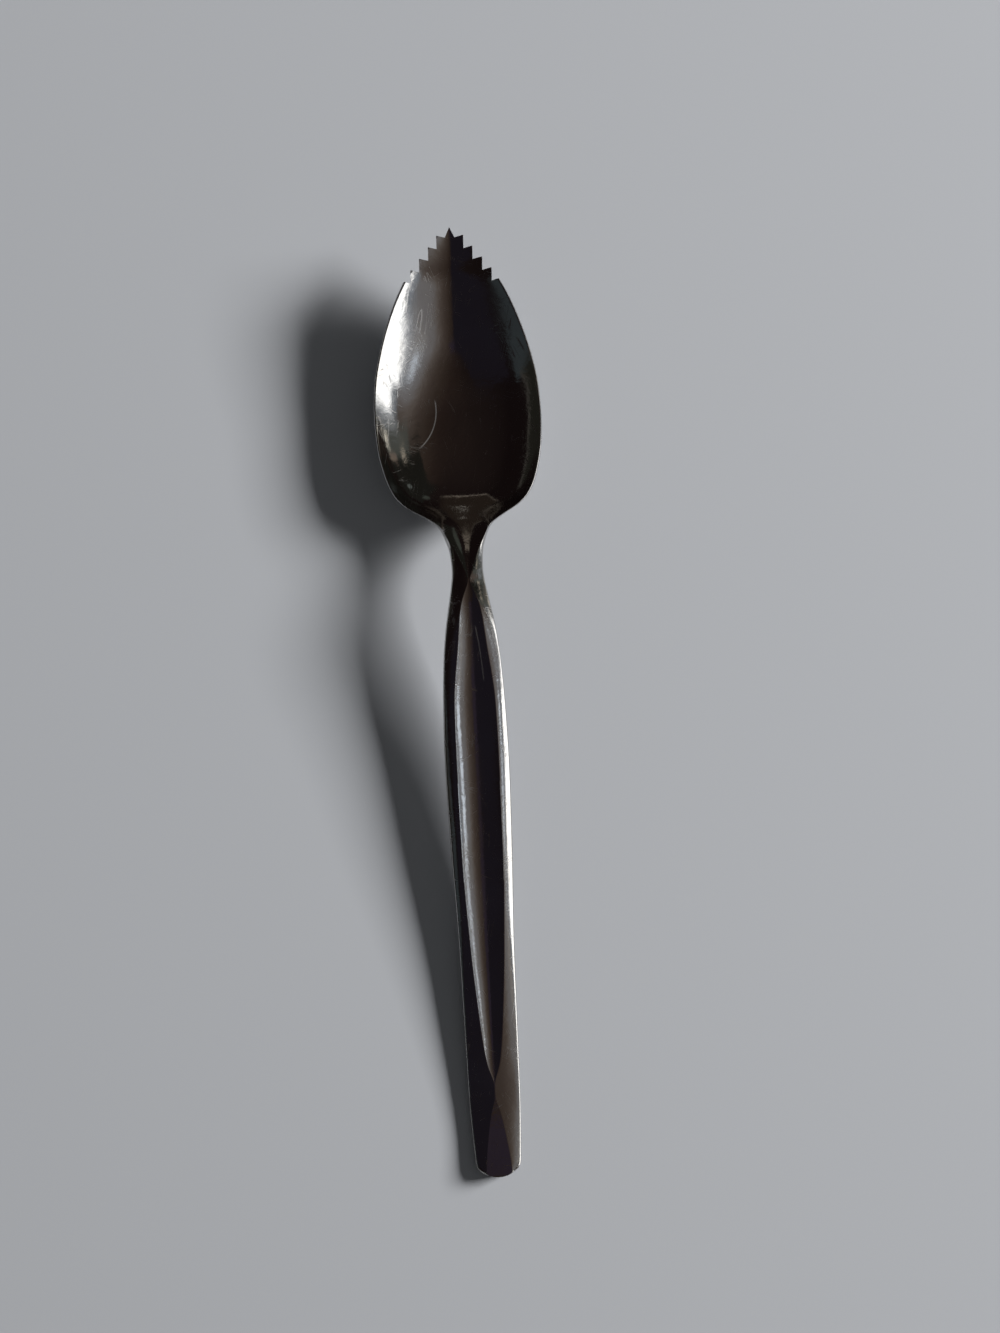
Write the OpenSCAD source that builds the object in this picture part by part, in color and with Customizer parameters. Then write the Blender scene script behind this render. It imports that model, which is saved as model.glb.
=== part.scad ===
// A fruit spoon with a toothed tip, pressed, trimmed and ground from one blank of steel.
// It lies on a table along Y, hollow side up, with the tip towards +Y.
// Its skin is a stack of sections square to its length. A place on the spoon is a distance
// back from the point of the centre tooth, and a width is measured from the middle line.

/* [Tip] */
// Number of teeth on each side of the centre tooth
teeth_each_side = 4; // [3:1:5]
// Distance from one side tooth to the next, along the spoon
tooth_pitch = 1.8; // [1.5:0.1:2.1]
// Place of the first side tooth
first_tooth = 1.35; // [1.1:0.05:1.6]
// How far each tooth's outer point stands ahead of its inner corner
tooth_hook = 0.28; // [0.1:0.02:0.4]
// Width of the centre tooth at its root
centre_tooth_w = 1.6; // [1.2:0.1:2]
// Width of the blank across its point, before the teeth are cut
nose_w = 1.8; // [1.4:0.1:2.4]
// Thickness of the metal at the teeth
tip_t = 1; // [0.8:0.1:1.3]
// How far the rim rises from the widest place to the point
tip_lift = 4; // [2:0.1:6]

/* [Bowl] */
// Length from the point to the mouth of the neck
bowl_len = 49; // [44:1:56]
// Width over the rim
bowl_w = 28.4; // [25:0.2:32]
// Depth of the hollow below the rim
bowl_depth = 4.8; // [4:0.1:6]
// Thickness of the metal
sheet_t = 1.3; // [1:0.1:1.8]
// Width of the top of the rim
rim_land = 0.15; // [0.1:0.05:0.8]
// Fall across the top of the rim
rim_fall = 0.05; // [0:0.01:0.15]

/* [Neck] */
// Length from the bowl's mouth to where the ridges cross
neck_len = 10; // [8:0.5:14]
// Width at the narrowest place
neck_w = 5.3; // [4.4:0.1:6.4]
// Height of the neck's edges above the table
neck_h = 7.7; // [6.6:0.1:10]
// Rise of the ridge above the neck's edges
neck_ridge = 1.1; // [0.6:0.1:1.6]
// Fall of the neck's belly below its edges
neck_belly = 0.9; // [0.4:0.1:1.4]

/* [Handle] */
// Length from the crossing of the ridges to the end
handle_len = 101; // [80:1:130]
// Width at the widest place
handle_w = 11; // [9:0.2:14]
// Width near the end
end_w = 7.6; // [6:0.2:9]
// Length of the rounding of the end
end_round = 2.4; // [1.6:0.1:3.2]
// Thickness at the edges
edge_t = 1.2; // [0.9:0.1:1.6]
// Rise of the ridges above the edges
handle_ridge = 0.85; // [0.5:0.05:1.2]
// Fall of the belly below the edges
handle_belly = 0.35; // [0.25:0.05:0.6]
// Width of the hollow between the ridges
groove_w = 7.1; // [5:0.1:7.6]
// Depth of the hollow between the ridges
groove_depth = 0.9; // [0.3:0.1:1.1]
// Width of the flat facet near the end
facet_w = 4.3; // [3:0.1:5]

/* [Edges] */
// Rounding of every long edge
edge_r = 0.22; // [0.1:0.02:0.4]
// Width left on a ridge where it runs to a line
ridge_w = 0.3; // [0.2:0.05:0.5]
// Metal worn off where the spoon rests on the table
worn = 0.15; // [0.05:0.01:0.2]

/* [Hidden] */

steel = [0.56, 0.55, 0.54];

// Metal left beyond the teeth on the blank, and beyond a cut
overrun = 0.6;

// Counts: segments across the hollow and across a bevel, and rings along each stretch
bowl_segments = 22;
rim_segments = 1;
slim_segments = 8;
bevel_segments = 4;
tip_rings = 12;
basin_rings = 22;
heel_rings = 11;
neck_rings = 12;
shaft_rings = 36;
facet_rings = 9;
end_rings = 8;

spoon_len = bowl_len + neck_len + handle_len;
crossing = bowl_len + neck_len;
shoulder = first_tooth + teeth_each_side * tooth_pitch;
tip_len = shoulder + tooth_hook + tooth_hook;
rim_z = bowl_depth + sheet_t - worn;
rest_z = edge_t + handle_belly - worn;

// The far end of the handle's hollow, and the start of the flat facet, on the handle
groove_end_share = 0.836;
facet_start_share = 0.868;
groove_end = crossing + groove_end_share * handle_len;
facet_start = crossing + facet_start_share * handle_len;
facet_len = spoon_len - facet_start;

// Where the hollow changes from a bowl with a floor to a plain channel
heel_start_share = 0.96;
heel_end_share = 0.3;
heel_start = heel_start_share * bowl_len;
heel_end = bowl_len + heel_end_share * neck_len;

// Half the outline's width: places along each part, and widths of that part
bowl_outline_shares = [
    [0.176, 0.572], [0.286, 0.756], [0.42, 0.906], [0.53, 0.981], [0.633, 1],
    [0.735, 0.981], [0.837, 0.907], [0.902, 0.81], [0.94, 0.686], [0.98, 0.457]];
neck_outline_shares = [[0.05, 1.7], [0.2, 1.4], [0.5, 1.065], [0.8, 1]];
handle_outline_shares = [
    [0.02, 0.582], [0.07, 0.755], [0.13, 0.885], [0.21, 0.964], [0.3, 1],
    [0.45, 0.953], [0.6, 0.864], [0.75, 0.831], [0.87, 0.802]];

// Half the hollow's width where it narrows into the neck, along the lens on the handle,
// and along the facet near the end
funnel_shares = [[0, 1], [0.36, 0.54], [0.6, 0.3], [0.82, 0.12], [1, 0]];
lens_shares = [
    [0, 0], [0.044, 0.45], [0.124, 0.665], [0.243, 0.97], [0.345, 1], [0.545, 0.975],
    [0.744, 0.78], [0.843, 0.61], [0.962, 0.325], [0.985, 0.2], [1, 0]];
facet_shares = [[0, 0], [0.14, 0.32], [0.47, 0.7], [0.85, 1], [1, 1.05]];

// Heights of the edges: shares of each rise, at places along each part
tip_lift_shares = [[0, 1], [0.2, 0.56], [0.4, 0.2], [0.6, 0]];
neck_rise_shares = [[0, 0.27], [0.25, 0.5], [0.55, 0.8], [0.9, 0.99]];
handle_rise_shares = [
    [0.04, 1], [0.11, 0.9], [0.17, 0.79], [0.27, 0.61], [0.41, 0.44], [0.61, 0.235],
    [0.73, 0.13], [0.84, 0.04], [0.92, 0], [1, 0.025]];

// Depth of the hollow: shares of the bowl's depth, then of the groove's
basin_shares = [
    [-0.01, 0.04], [0.045, 0.11], [0.102, 0.26], [0.163, 0.5], [0.224, 0.645], [0.286, 0.79],
    [0.347, 0.92], [0.42, 1], [0.74, 1], [0.83, 0.975], [0.886, 0.9], [0.925, 0.74],
    [0.96, 0.52], [1, 0.3]];
channel_shares = [[0.3, 0.17], [0.65, 0.08]];
groove_shares = [[0, 0], [0.08, 0.5], [0.22, 0.88], [0.42, 1], [0.72, 0.8], [0.9, 0.5], [1, 0]];

// Power of the hollow's curve across the spoon, at places along the bowl and the neck: a power
// of 2 is a parabola, less is nearer to a V, and more is flatter in the middle
bowl_power_shares = [[0, 1.65], [0.35, 1.7], [0.52, 2.4], [0.7, 3.2], [0.9, 3.4]];
neck_power_shares = [[0, 2.6], [0.3, 2]];

// Rise of the ridges over the edges, and fall of the belly below them
neck_ridge_shares = [[0, 0.11], [0.3, 0.3], [0.6, 0.62], [1, 1]];
handle_ridge_shares = [[0.15, 0.75], [0.3, 0.92], [0.4, 0.96], [0.52, 0.82], [0.62, 0.74], [0.85, 0.7], [1, 0.5]];

// A smooth curve through the points of a table, with no overshoot between them
function secant(t, i) = (t[i + 1][1] - t[i][1]) / (t[i + 1][0] - t[i][0]);
function mean_slope(a, b) = a * b <= 0 ? 0 : 2 * a * b / (a + b);
function slope_at(t, i) =
    i == 0 ? secant(t, 0)
    : i == len(t) - 1 ? secant(t, i - 1)
    : mean_slope(secant(t, i - 1), secant(t, i));
function interval(t, s, i = 0) = i >= len(t) - 2 || s <= t[i + 1][0] ? i : interval(t, s, i + 1);
function hermite(u, h, a, b, ka, kb) =
    a + u * h * ka + u * u * (3 * (b - a) - h * (2 * ka + kb))
    + u * u * u * (2 * (a - b) + h * (ka + kb));
function curve(t, s) =
    let (i = interval(t, s), h = t[i + 1][0] - t[i][0], u = (s - t[i][0]) / h)
    u <= 0 ? t[i][1]
    : u >= 1 ? t[i + 1][1]
    : hermite(u, h, t[i][1], t[i + 1][1], slope_at(t, i), slope_at(t, i + 1));

// A table of shares made real: from a start place, along a length, between two values
function sized(shares, start, length, low, high) =
    [for (p = shares) [start + p[0] * length, low + p[1] * (high - low)]];

// A weight that eases from 0 to 1
function ease(s, from, to) =
    let (u = max(0, min(1, (s - from) / (to - from))))
    u * u * (3 - 2 * u);
function spaced(from, to, n) = [for (i = [0 : n - 1]) from + (to - from) * i / n];

outline = concat(
    [[-overrun, nose_w / 2], [first_tooth, nose_w / 2 + first_tooth]],
    sized(bowl_outline_shares, 0, bowl_len, 0, bowl_w / 2),
    sized(neck_outline_shares, bowl_len, neck_len, 0, neck_w / 2),
    sized(handle_outline_shares, crossing, handle_len, 0, handle_w / 2),
    [[spoon_len, end_w / 2]]);
edge_heights = concat(
    sized(tip_lift_shares, 0, bowl_len, rim_z, rim_z + tip_lift),
    [[heel_start - (bowl_len - heel_start), rim_z + worn]],
    sized(neck_rise_shares, bowl_len, neck_len, rim_z, neck_h),
    sized(handle_rise_shares, crossing, handle_len, rest_z, neck_h));
hollow_depths = concat(
    sized(basin_shares, 0, bowl_len, 0, bowl_depth),
    sized(channel_shares, bowl_len, neck_len, 0, bowl_depth),
    sized(groove_shares, crossing, groove_end - crossing, 0, groove_depth));
powers = concat(
    sized(bowl_power_shares, 0, bowl_len, 0, 1), sized(neck_power_shares, bowl_len, neck_len, 0, 1));
thicknesses = [[0, tip_t], [tip_len, sheet_t], [bowl_len, sheet_t], [crossing, edge_t], [spoon_len, edge_t]];
ridges = concat(
    [[0, rim_fall], [heel_start, rim_fall]],
    sized(neck_ridge_shares, bowl_len, neck_len, 0, neck_ridge),
    sized(handle_ridge_shares, crossing, handle_len, 0, handle_ridge));
bellies = [
    [heel_start, neck_belly / 2], [crossing, neck_belly],
    [crossing + neck_len + neck_len, handle_belly], [spoon_len, handle_belly]];

// Half the width at a place; the last stretch closes in an arc
function plain_half(s) = curve(outline, s);
function end_share(s) = max(0, (s - spoon_len + end_round) / end_round);
function half_w(s) =
    let (q = end_share(s))
    max(plain_half(s) * sqrt(max(0, 1 - q * q)), ridge_w + edge_r + edge_r);

// Half the width of the hollow or facet between the ridges
function open_half(s) =
    s < bowl_len ? half_w(s) - edge_r - rim_land
    : s < crossing
        ? curve(sized(funnel_shares, bowl_len, neck_len, 0, half_w(bowl_len) - edge_r - rim_land), s)
    : s < groove_end ? curve(sized(lens_shares, crossing, groove_end - crossing, 0, groove_w / 2), s)
    : s < facet_start ? 0
    : curve(sized(facet_shares, facet_start, facet_len, 0, facet_w / 2), s);
function ridge_half(s) = max(ridge_w / 2, min(open_half(s), half_w(s) - edge_r - ridge_w));

// Depth of the hollow below a line from ridge to ridge
function bowed(x, half, power) = 1 - pow(min(1, abs(x) / half), power);
function hollow(x, s) = curve(hollow_depths, s) * bowed(x, ridge_half(s), curve(powers, s));

// The bevel falls from the ridge to the edge, steeper towards the edge
function bevel_fall(x, s) =
    let (half = ridge_half(s), t = max(0, abs(x) - half) / (half_w(s) - edge_r - half))
    curve(ridges, s) * (t + t * t) / 2;
function top_z(x, s) =
    curve(edge_heights, s) + curve(ridges, s) - bevel_fall(x, s)
    - (abs(x) < ridge_half(s) ? hollow(x, s) : 0);
function under_z(x, s) =
    let (half = half_w(s), m = ease(s, heel_start, heel_end))
    curve(edge_heights, s) - curve(thicknesses, s)
    - (1 - m) * curve(hollow_depths, s) * bowed(x, half - edge_r, curve(powers, s))
    - m * curve(bellies, s) * bowed(x, half, 2);

// Places across a section: a bevel, the hollow with more points near its walls, and a bevel
function crowded(u) = (u + sin(90 * u)) / 2;
function half_places(edge, ridge, bevel_n, open_n) = concat(
    [for (i = [0 : bevel_n - 1]) edge + (ridge - edge) * i / bevel_n],
    [for (i = [0 : open_n / 2 - 1]) ridge * crowded(1 - 2 * i / open_n)]);
function places(edge, ridge, bevel_n, open_n) =
    let (half = half_places(edge, ridge, bevel_n, open_n), n = len(half))
    concat(-half, [0], [for (i = [1 : n]) half[n - i]]);

// One ring of points: the top from left to right, the right edge, the underside, the left edge.
// Its rim can be widened, for the blank that the teeth are cut from.
function widened(x, rim, extra) = abs(x) < rim ? x : x + sign(x) * extra;
function ring(s, extra, bevel_n, open_n) =
    let (y = spoon_len / 2 - s,
         rim = half_w(s) - edge_r,
         xs = places(rim, ridge_half(s), bevel_n, open_n),
         n = len(xs),
         outer = half_w(s) + extra,
         high = curve(edge_heights, s),
         low = high - curve(thicknesses, s))
    concat(
        [for (x = xs) [widened(x, rim, extra), y, top_z(x, s)]],
        [[outer, y, high - edge_r], [outer, y, low + edge_r]],
        [for (i = [1 : n]) let (x = xs[n - i]) [widened(x, rim, extra), y, under_z(x, s)]],
        [[-outer, y, low + edge_r], [-outer, y, high - edge_r]]);

// A closed skin through rings; its triangles mirror each other across the middle line
function flip(face) = [face[2], face[1], face[0]];
function skin_faces(rings, count, row) = concat(
    [for (k = [0 : rings - 2], j = [0 : count - 1], half = [0, 1])
        let (a = k * count + j, b = k * count + (j + 1) % count, c = b + count, d = a + count,
             left = j < row ? 2 * j < row - 1 : 2 * (j - row) > row + 1)
        left ? (half == 0 ? [a, b, c] : [a, c, d]) : (half == 0 ? [a, b, d] : [b, c, d])],
    [for (f = cap_faces(count, row)) flip(f)],
    [for (f = cap_faces(count, row)) [for (v = f) v + (rings - 1) * count]]);
function cap_faces(count, row) =
    let (under = 2 * row + 1)
    concat(
        [for (j = [0 : row - 2], half = [0, 1])
            let (a = j, b = j + 1, c = under - j - 1, d = under - j)
            half == 0 ? [a, b, c] : [a, c, d]],
        [[row - 1, row, row + 1], [row - 1, row + 1, row + 2]],
        [[0, count - 3, count - 2], [0, count - 2, count - 1]]);

module skin(stations, bevel_n, open_n, extra = 0) {
    rings = [for (s = stations) ring(s, extra * max(0, 1 - s / shoulder), bevel_n, open_n)];
    row = 2 * bevel_n + open_n + 1;
    polyhedron(
        points = [for (r = rings, p = r) p],
        faces = skin_faces(len(rings), 2 * row + 4, row));
}

// What lies below the table top, in one block as long as the spoon
module below_table() {
    translate([-bowl_w, -spoon_len, -bowl_w])
        cube([bowl_w + bowl_w, spoon_len + spoon_len, bowl_w]);
}

// Plan of the toothed end: the point, then an inner corner and an outer point for each tooth
function tooth_place(i) = first_tooth + i * tooth_pitch;
function side_teeth() = [
    for (i = [0 : teeth_each_side], inner = [true, false])
        inner
            ? [i == 0 ? centre_tooth_w / 2 : plain_half(tooth_place(i - 1)), tooth_place(i) + tooth_hook]
            : [plain_half(tooth_place(i)), tooth_place(i)]];
module toothed_plan() {
    side = concat(side_teeth(), [[bowl_w, shoulder], [bowl_w, tip_len + overrun]]);
    count = len(side);
    polygon(concat(
        [[0, 0]],
        side,
        [for (i = [1 : count]) [-side[count - i][0], side[count - i][1]]]));
}

module serrated_tip() {
    color(steel)
        intersection() {
            skin(concat(spaced(-overrun / 2, tip_len, tip_rings), [tip_len]),
                rim_segments, bowl_segments, overrun);
            translate([0, spoon_len / 2, 0])
                mirror([0, 1, 0])
                    linear_extrude(bowl_w)
                        toothed_plan();
        }
}

module bowl() {
    color(steel)
        difference() {
            skin(concat(
                    spaced(tip_len, heel_start - neck_w, basin_rings),
                    spaced(heel_start - neck_w, bowl_len, heel_rings),
                    [bowl_len]),
                rim_segments, bowl_segments);
            below_table();
        }
}

module neck() {
    color(steel)
        skin(concat(spaced(bowl_len, crossing, neck_rings), [crossing]),
            bevel_segments, slim_segments);
}

module handle() {
    end_start = spoon_len - end_round;
    color(steel)
        difference() {
            skin(concat(
                    spaced(crossing, groove_end, shaft_rings),
                    spaced(groove_end, end_start, facet_rings),
                    [for (i = [0 : end_rings]) end_start + end_round * sin(90 * i / end_rings)]),
                bevel_segments, slim_segments);
            below_table();
        }
}

serrated_tip();
bowl();
neck();
handle();
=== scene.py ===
# %% [markdown]
# # A fruit spoon with a toothed tip
# A spoon of this kind is one piece of stainless steel. A flat blank is rolled thinner at one
# end, pressed into a bowl, trimmed, and ground along the handle. The teeth are cut last. This
# lesson follows the same order: one blank is shaped whole, toothed, and only then divided into
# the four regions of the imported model, so that no seam shows on the polished metal.
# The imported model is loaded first. It fixes the size and the place of everything.

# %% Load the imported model
import math
from functools import reduce

import bmesh
import bpy
from mathutils import Matrix, Vector


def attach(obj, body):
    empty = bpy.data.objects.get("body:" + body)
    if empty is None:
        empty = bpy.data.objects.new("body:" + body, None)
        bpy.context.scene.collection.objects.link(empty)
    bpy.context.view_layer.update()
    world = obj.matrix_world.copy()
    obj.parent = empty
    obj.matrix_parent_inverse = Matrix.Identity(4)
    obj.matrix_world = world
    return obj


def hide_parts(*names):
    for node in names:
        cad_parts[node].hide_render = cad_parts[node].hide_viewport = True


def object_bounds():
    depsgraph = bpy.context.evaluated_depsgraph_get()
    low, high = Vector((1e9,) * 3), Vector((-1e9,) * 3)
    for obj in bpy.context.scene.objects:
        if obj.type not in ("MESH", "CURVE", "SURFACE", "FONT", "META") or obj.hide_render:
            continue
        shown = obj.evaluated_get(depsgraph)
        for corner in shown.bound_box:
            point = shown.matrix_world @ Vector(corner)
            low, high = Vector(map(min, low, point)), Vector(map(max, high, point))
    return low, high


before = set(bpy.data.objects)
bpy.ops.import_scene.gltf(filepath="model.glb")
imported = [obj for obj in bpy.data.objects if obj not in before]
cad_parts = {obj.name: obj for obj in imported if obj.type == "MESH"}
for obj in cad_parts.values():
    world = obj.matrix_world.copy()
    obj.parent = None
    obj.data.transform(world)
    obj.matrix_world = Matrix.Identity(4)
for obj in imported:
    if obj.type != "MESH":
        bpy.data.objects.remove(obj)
cad_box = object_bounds()
MM = 0.001
spoon_len = (cad_box[1].y - cad_box[0].y) / MM
print("nodes:", len(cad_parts), "spoon length, mm:", round(spoon_len, 2))


# %% [markdown]
# The camera comes before the making, so that each trial render can be laid beside the
# photograph. The photograph was taken from almost straight above, with the spoon a few degrees
# off upright. The raised neck sits a little to the right of the line from tip to end, which
# tells that the view leans to the left. The lens is worked out from the length of table that
# the long side of the picture shows.

# %% Camera
SEEN_LENGTH, VIEW_HEIGHT = 227.5 * MM, 400 * MM
VIEW_CENTRE = Vector((5.2, 6.56, 0)) * MM
VIEW_TURN, VIEW_LEAN = math.radians(3.3), math.radians(5.4)
SENSOR = 36


def add_camera():
    """A camera over the spoon, turned and leaned as the photograph's was."""
    out = Vector((-math.sin(VIEW_LEAN), 0, math.cos(VIEW_LEAN)))
    up = Vector((math.sin(VIEW_TURN), math.cos(VIEW_TURN), 0))
    up = (up - up.dot(out) * out).normalized()
    data = bpy.data.cameras.new("photo_camera")
    data.sensor_width = SENSOR
    data.lens = SENSOR * VIEW_HEIGHT / SEEN_LENGTH
    data.clip_start = VIEW_HEIGHT / 10
    camera = bpy.data.objects.new("photo_camera", data)
    bpy.context.scene.collection.objects.link(camera)
    turn = Matrix((up.cross(out), up, out)).transposed()
    camera.matrix_world = Matrix.Translation(VIEW_CENTRE + out * VIEW_HEIGHT) @ turn.to_4x4()
    bpy.context.scene.camera = camera
    print("lens, mm:", round(data.lens, 1))


add_camera()

# %% [markdown]
# ## The shape in numbers
# The spoon is described by sections square to its length. A place is a distance back from the
# point of the tip, and every size is in millimetres. These are the same driving sizes that the
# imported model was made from, and the tables hold shares of them at shares of each length.

# %% Driving sizes
BOWL_LEN, NECK_LEN = 49, 10
HANDLE_LEN = spoon_len - BOWL_LEN - NECK_LEN
BOWL_W, NECK_W, HANDLE_W, END_W, NOSE_W = 28.4, 5.3, 11, 7.6, 1.8
BOWL_DEPTH, SHEET_T, TIP_T, EDGE_T = 4.8, 1.3, 1.0, 1.2
TIP_LIFT, NECK_H, WORN = 4.0, 7.7, 0.15
NECK_RIDGE, HANDLE_RIDGE, NECK_BELLY, HANDLE_BELLY = 1.1, 0.85, 0.9, 0.35
GROOVE_W, GROOVE_DEPTH, FACET_W = 7.1, 0.9, 4.3
RIM_LAND, RIM_RISE, END_ROUND, EDGE_R, RIDGE_W = 0.15, 0.05, 2.4, 0.22, 0.12
TEETH, TOOTH_PITCH, FIRST_TOOTH, TOOTH_HOOK, CENTRE_TOOTH_W = 4, 1.8, 1.35, 0.28, 1.6

CROSSING = BOWL_LEN + NECK_LEN
SHOULDER = FIRST_TOOTH + TEETH * TOOTH_PITCH
TIP_LEN = SHOULDER + 2 * TOOTH_HOOK
GROOVE_END = CROSSING + 0.836 * HANDLE_LEN
FACET_START = CROSSING + 0.868 * HANDLE_LEN
HEEL_START = 0.96 * BOWL_LEN
HEEL_END = BOWL_LEN + 0.3 * NECK_LEN
RIM_Z = BOWL_DEPTH + SHEET_T - WORN
REST_Z = EDGE_T + HANDLE_BELLY - WORN
OVERRUN, SAME_PLACE = 0.6, 0.001
print("handle length, mm:", round(HANDLE_LEN, 2))


# %% [markdown]
# The real outline is one sweep, with no corners between the shoulders and the end. Straight
# lines between the points would show as facets, and an ordinary spline would swing past them.
# So a cubic is fitted between each two points, and the slope at a point is the harmonic mean of
# its neighbours' slopes. That way a widest place stays the widest place.

# %% Curves through tables
def sized(shares, start, length, low, high):
    """A table of shares made real, from a start place, along a length, between two values."""
    return [(start + p * length, low + q * (high - low)) for p, q in shares]


def slope_at(table, i):
    """The slope of a table's curve at one of its points."""
    def secant(k):
        (a, b), (c, d) = table[k], table[k + 1]
        return (d - b) / (c - a)

    if i == 0:
        return secant(0)
    if i == len(table) - 1:
        return secant(i - 1)
    before, after = secant(i - 1), secant(i)
    return 0 if before * after <= 0 else 2 * before * after / (before + after)


def curve(table, s):
    """The value of a table's curve at a place."""
    if s <= table[0][0]:
        return table[0][1]
    if s >= table[-1][0]:
        return table[-1][1]
    i = max(k for k in range(len(table) - 1) if table[k][0] <= s)
    (a, p), (b, q) = table[i], table[i + 1]
    h, u = b - a, (s - a) / (b - a)
    k0, k1 = slope_at(table, i) * h, slope_at(table, i + 1) * h
    return p + u * k0 + u * u * (3 * (q - p) - 2 * k0 - k1) + u ** 3 * (2 * (p - q) + k0 + k1)


print("halfway up a curve from 0 to 1:", curve([(0, 0), (1, 1)], 0.5))


# %% [markdown]
# The first tables give the outline, seen from above, and the height of the edges, seen from
# the side. From the tip the edge falls to the bowl's rim, and it climbs over the neck and sinks
# to the table again at the handle's end.

# %% Outline and edge heights
OUTLINE = (
    [(-OVERRUN, NOSE_W / 2), (FIRST_TOOTH, NOSE_W / 2 + FIRST_TOOTH)]
    + sized([(0.176, 0.572), (0.286, 0.756), (0.42, 0.906), (0.53, 0.981), (0.633, 1),
             (0.735, 0.981), (0.837, 0.907), (0.902, 0.81), (0.94, 0.686), (0.98, 0.457)],
            0, BOWL_LEN, 0, BOWL_W / 2)
    + sized([(0.05, 1.7), (0.2, 1.4), (0.5, 1.065), (0.8, 1)], BOWL_LEN, NECK_LEN, 0, NECK_W / 2)
    + sized([(0.02, 0.582), (0.07, 0.755), (0.13, 0.885), (0.21, 0.964), (0.3, 1),
             (0.45, 0.953), (0.6, 0.864), (0.75, 0.831), (0.87, 0.802)],
            CROSSING, HANDLE_LEN, 0, HANDLE_W / 2)
    + [(spoon_len, END_W / 2)]
)
EDGE_HEIGHTS = (
    sized([(0, 1), (0.2, 0.56), (0.4, 0.2), (0.6, 0)], 0, BOWL_LEN, RIM_Z, RIM_Z + TIP_LIFT)
    + [(2 * HEEL_START - BOWL_LEN, RIM_Z + WORN)]
    + sized([(0, 0.27), (0.25, 0.5), (0.55, 0.8), (0.9, 0.99)], BOWL_LEN, NECK_LEN, RIM_Z, NECK_H)
    + sized([(0.04, 1), (0.11, 0.9), (0.17, 0.79), (0.27, 0.61), (0.41, 0.44), (0.61, 0.235),
             (0.73, 0.13), (0.84, 0.04), (0.92, 0), (1, 0.025)],
            CROSSING, HANDLE_LEN, REST_Z, NECK_H)
)
widest = 2 * max(curve(OUTLINE, s) for s in range(round(spoon_len)))
print("greatest width, mm:", round(widest, 2))


# %% [markdown]
# The hollow has a depth and a width at every place: a bowl, a funnel that narrows through the
# neck to a point, a lens on the handle, and a flat facet near the end. A power says how round
# it is from side to side.

# %% Hollow
HOLLOW_DEPTHS = (
    sized([(-0.01, 0.04), (0.045, 0.11), (0.102, 0.26), (0.163, 0.5), (0.224, 0.645),
           (0.286, 0.79), (0.347, 0.92), (0.42, 1), (0.74, 1), (0.83, 0.975), (0.886, 0.9),
           (0.925, 0.74), (0.96, 0.52), (1, 0.3)],
          0, BOWL_LEN, 0, BOWL_DEPTH)
    + sized([(0.3, 0.17), (0.65, 0.08)], BOWL_LEN, NECK_LEN, 0, BOWL_DEPTH)
    + sized([(0, 0), (0.08, 0.5), (0.22, 0.88), (0.42, 1), (0.72, 0.8), (0.9, 0.5), (1, 0)],
            CROSSING, GROOVE_END - CROSSING, 0, GROOVE_DEPTH)
)
POWERS = (
    sized([(0, 1.65), (0.35, 1.7), (0.52, 2.4), (0.7, 3.2), (0.9, 3.4)], 0, BOWL_LEN, 0, 1)
    + sized([(0, 2.6), (0.3, 2)], BOWL_LEN, NECK_LEN, 0, 1)
)
FUNNEL_SHARES = [(0, 1), (0.36, 0.54), (0.6, 0.3), (0.82, 0.12), (1, 0)]
LENS = sized(
    [(0, 0), (0.044, 0.45), (0.124, 0.665), (0.243, 0.97), (0.345, 1), (0.545, 0.975),
     (0.744, 0.78), (0.843, 0.61), (0.962, 0.325), (0.985, 0.2), (1, 0)],
    CROSSING, GROOVE_END - CROSSING, 0, GROOVE_W / 2)
FACET = sized([(0, 0), (0.14, 0.32), (0.47, 0.7), (0.85, 1), (1, 1.05)],
              FACET_START, spoon_len - FACET_START, 0, FACET_W / 2)
print("deepest place of the hollow, mm:", max(depth for _, depth in HOLLOW_DEPTHS))


# %% [markdown]
# The last tables give the metal's thickness, the ridges beside the hollow and the belly of the
# underside. The ridges are highest at the neck, where the spoon has to be stiff.

# %% Thickness, ridges and belly
THICKNESSES = [(0, TIP_T), (TIP_LEN, SHEET_T), (BOWL_LEN, SHEET_T), (CROSSING, EDGE_T),
               (spoon_len, EDGE_T)]
RIDGES = (
    [(0, RIM_RISE), (HEEL_START, RIM_RISE)]
    + sized([(0, 0.11), (0.3, 0.3), (0.6, 0.62), (1, 1)], BOWL_LEN, NECK_LEN, 0, NECK_RIDGE)
    + sized([(0.15, 0.75), (0.3, 0.92), (0.4, 0.96), (0.52, 0.82), (0.62, 0.74), (0.85, 0.7),
             (1, 0.5)], CROSSING, HANDLE_LEN, 0, HANDLE_RIDGE)
)
BELLIES = [(HEEL_START, NECK_BELLY / 2), (CROSSING, NECK_BELLY),
           (CROSSING + 2 * NECK_LEN, HANDLE_BELLY), (spoon_len, HANDLE_BELLY)]
print("top of the neck, mm:", round(curve(EDGE_HEIGHTS, CROSSING) + curve(RIDGES, CROSSING), 2))


# %% [markdown]
# ## One section
# Every section starts from two widths, the outline's and the hollow's. At the handle's end the
# outline closes in an arc, and in the neck the hollow closes from the bowl's mouth to a point.

# %% Widths at a place
def half_width(s):
    """Half the outline's width, closing in an arc at the end of the handle."""
    q = max(0, (s - spoon_len + END_ROUND) / END_ROUND)
    return max(curve(OUTLINE, s) * math.sqrt(max(0, 1 - q * q)), RIDGE_W + 2 * EDGE_R)


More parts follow.
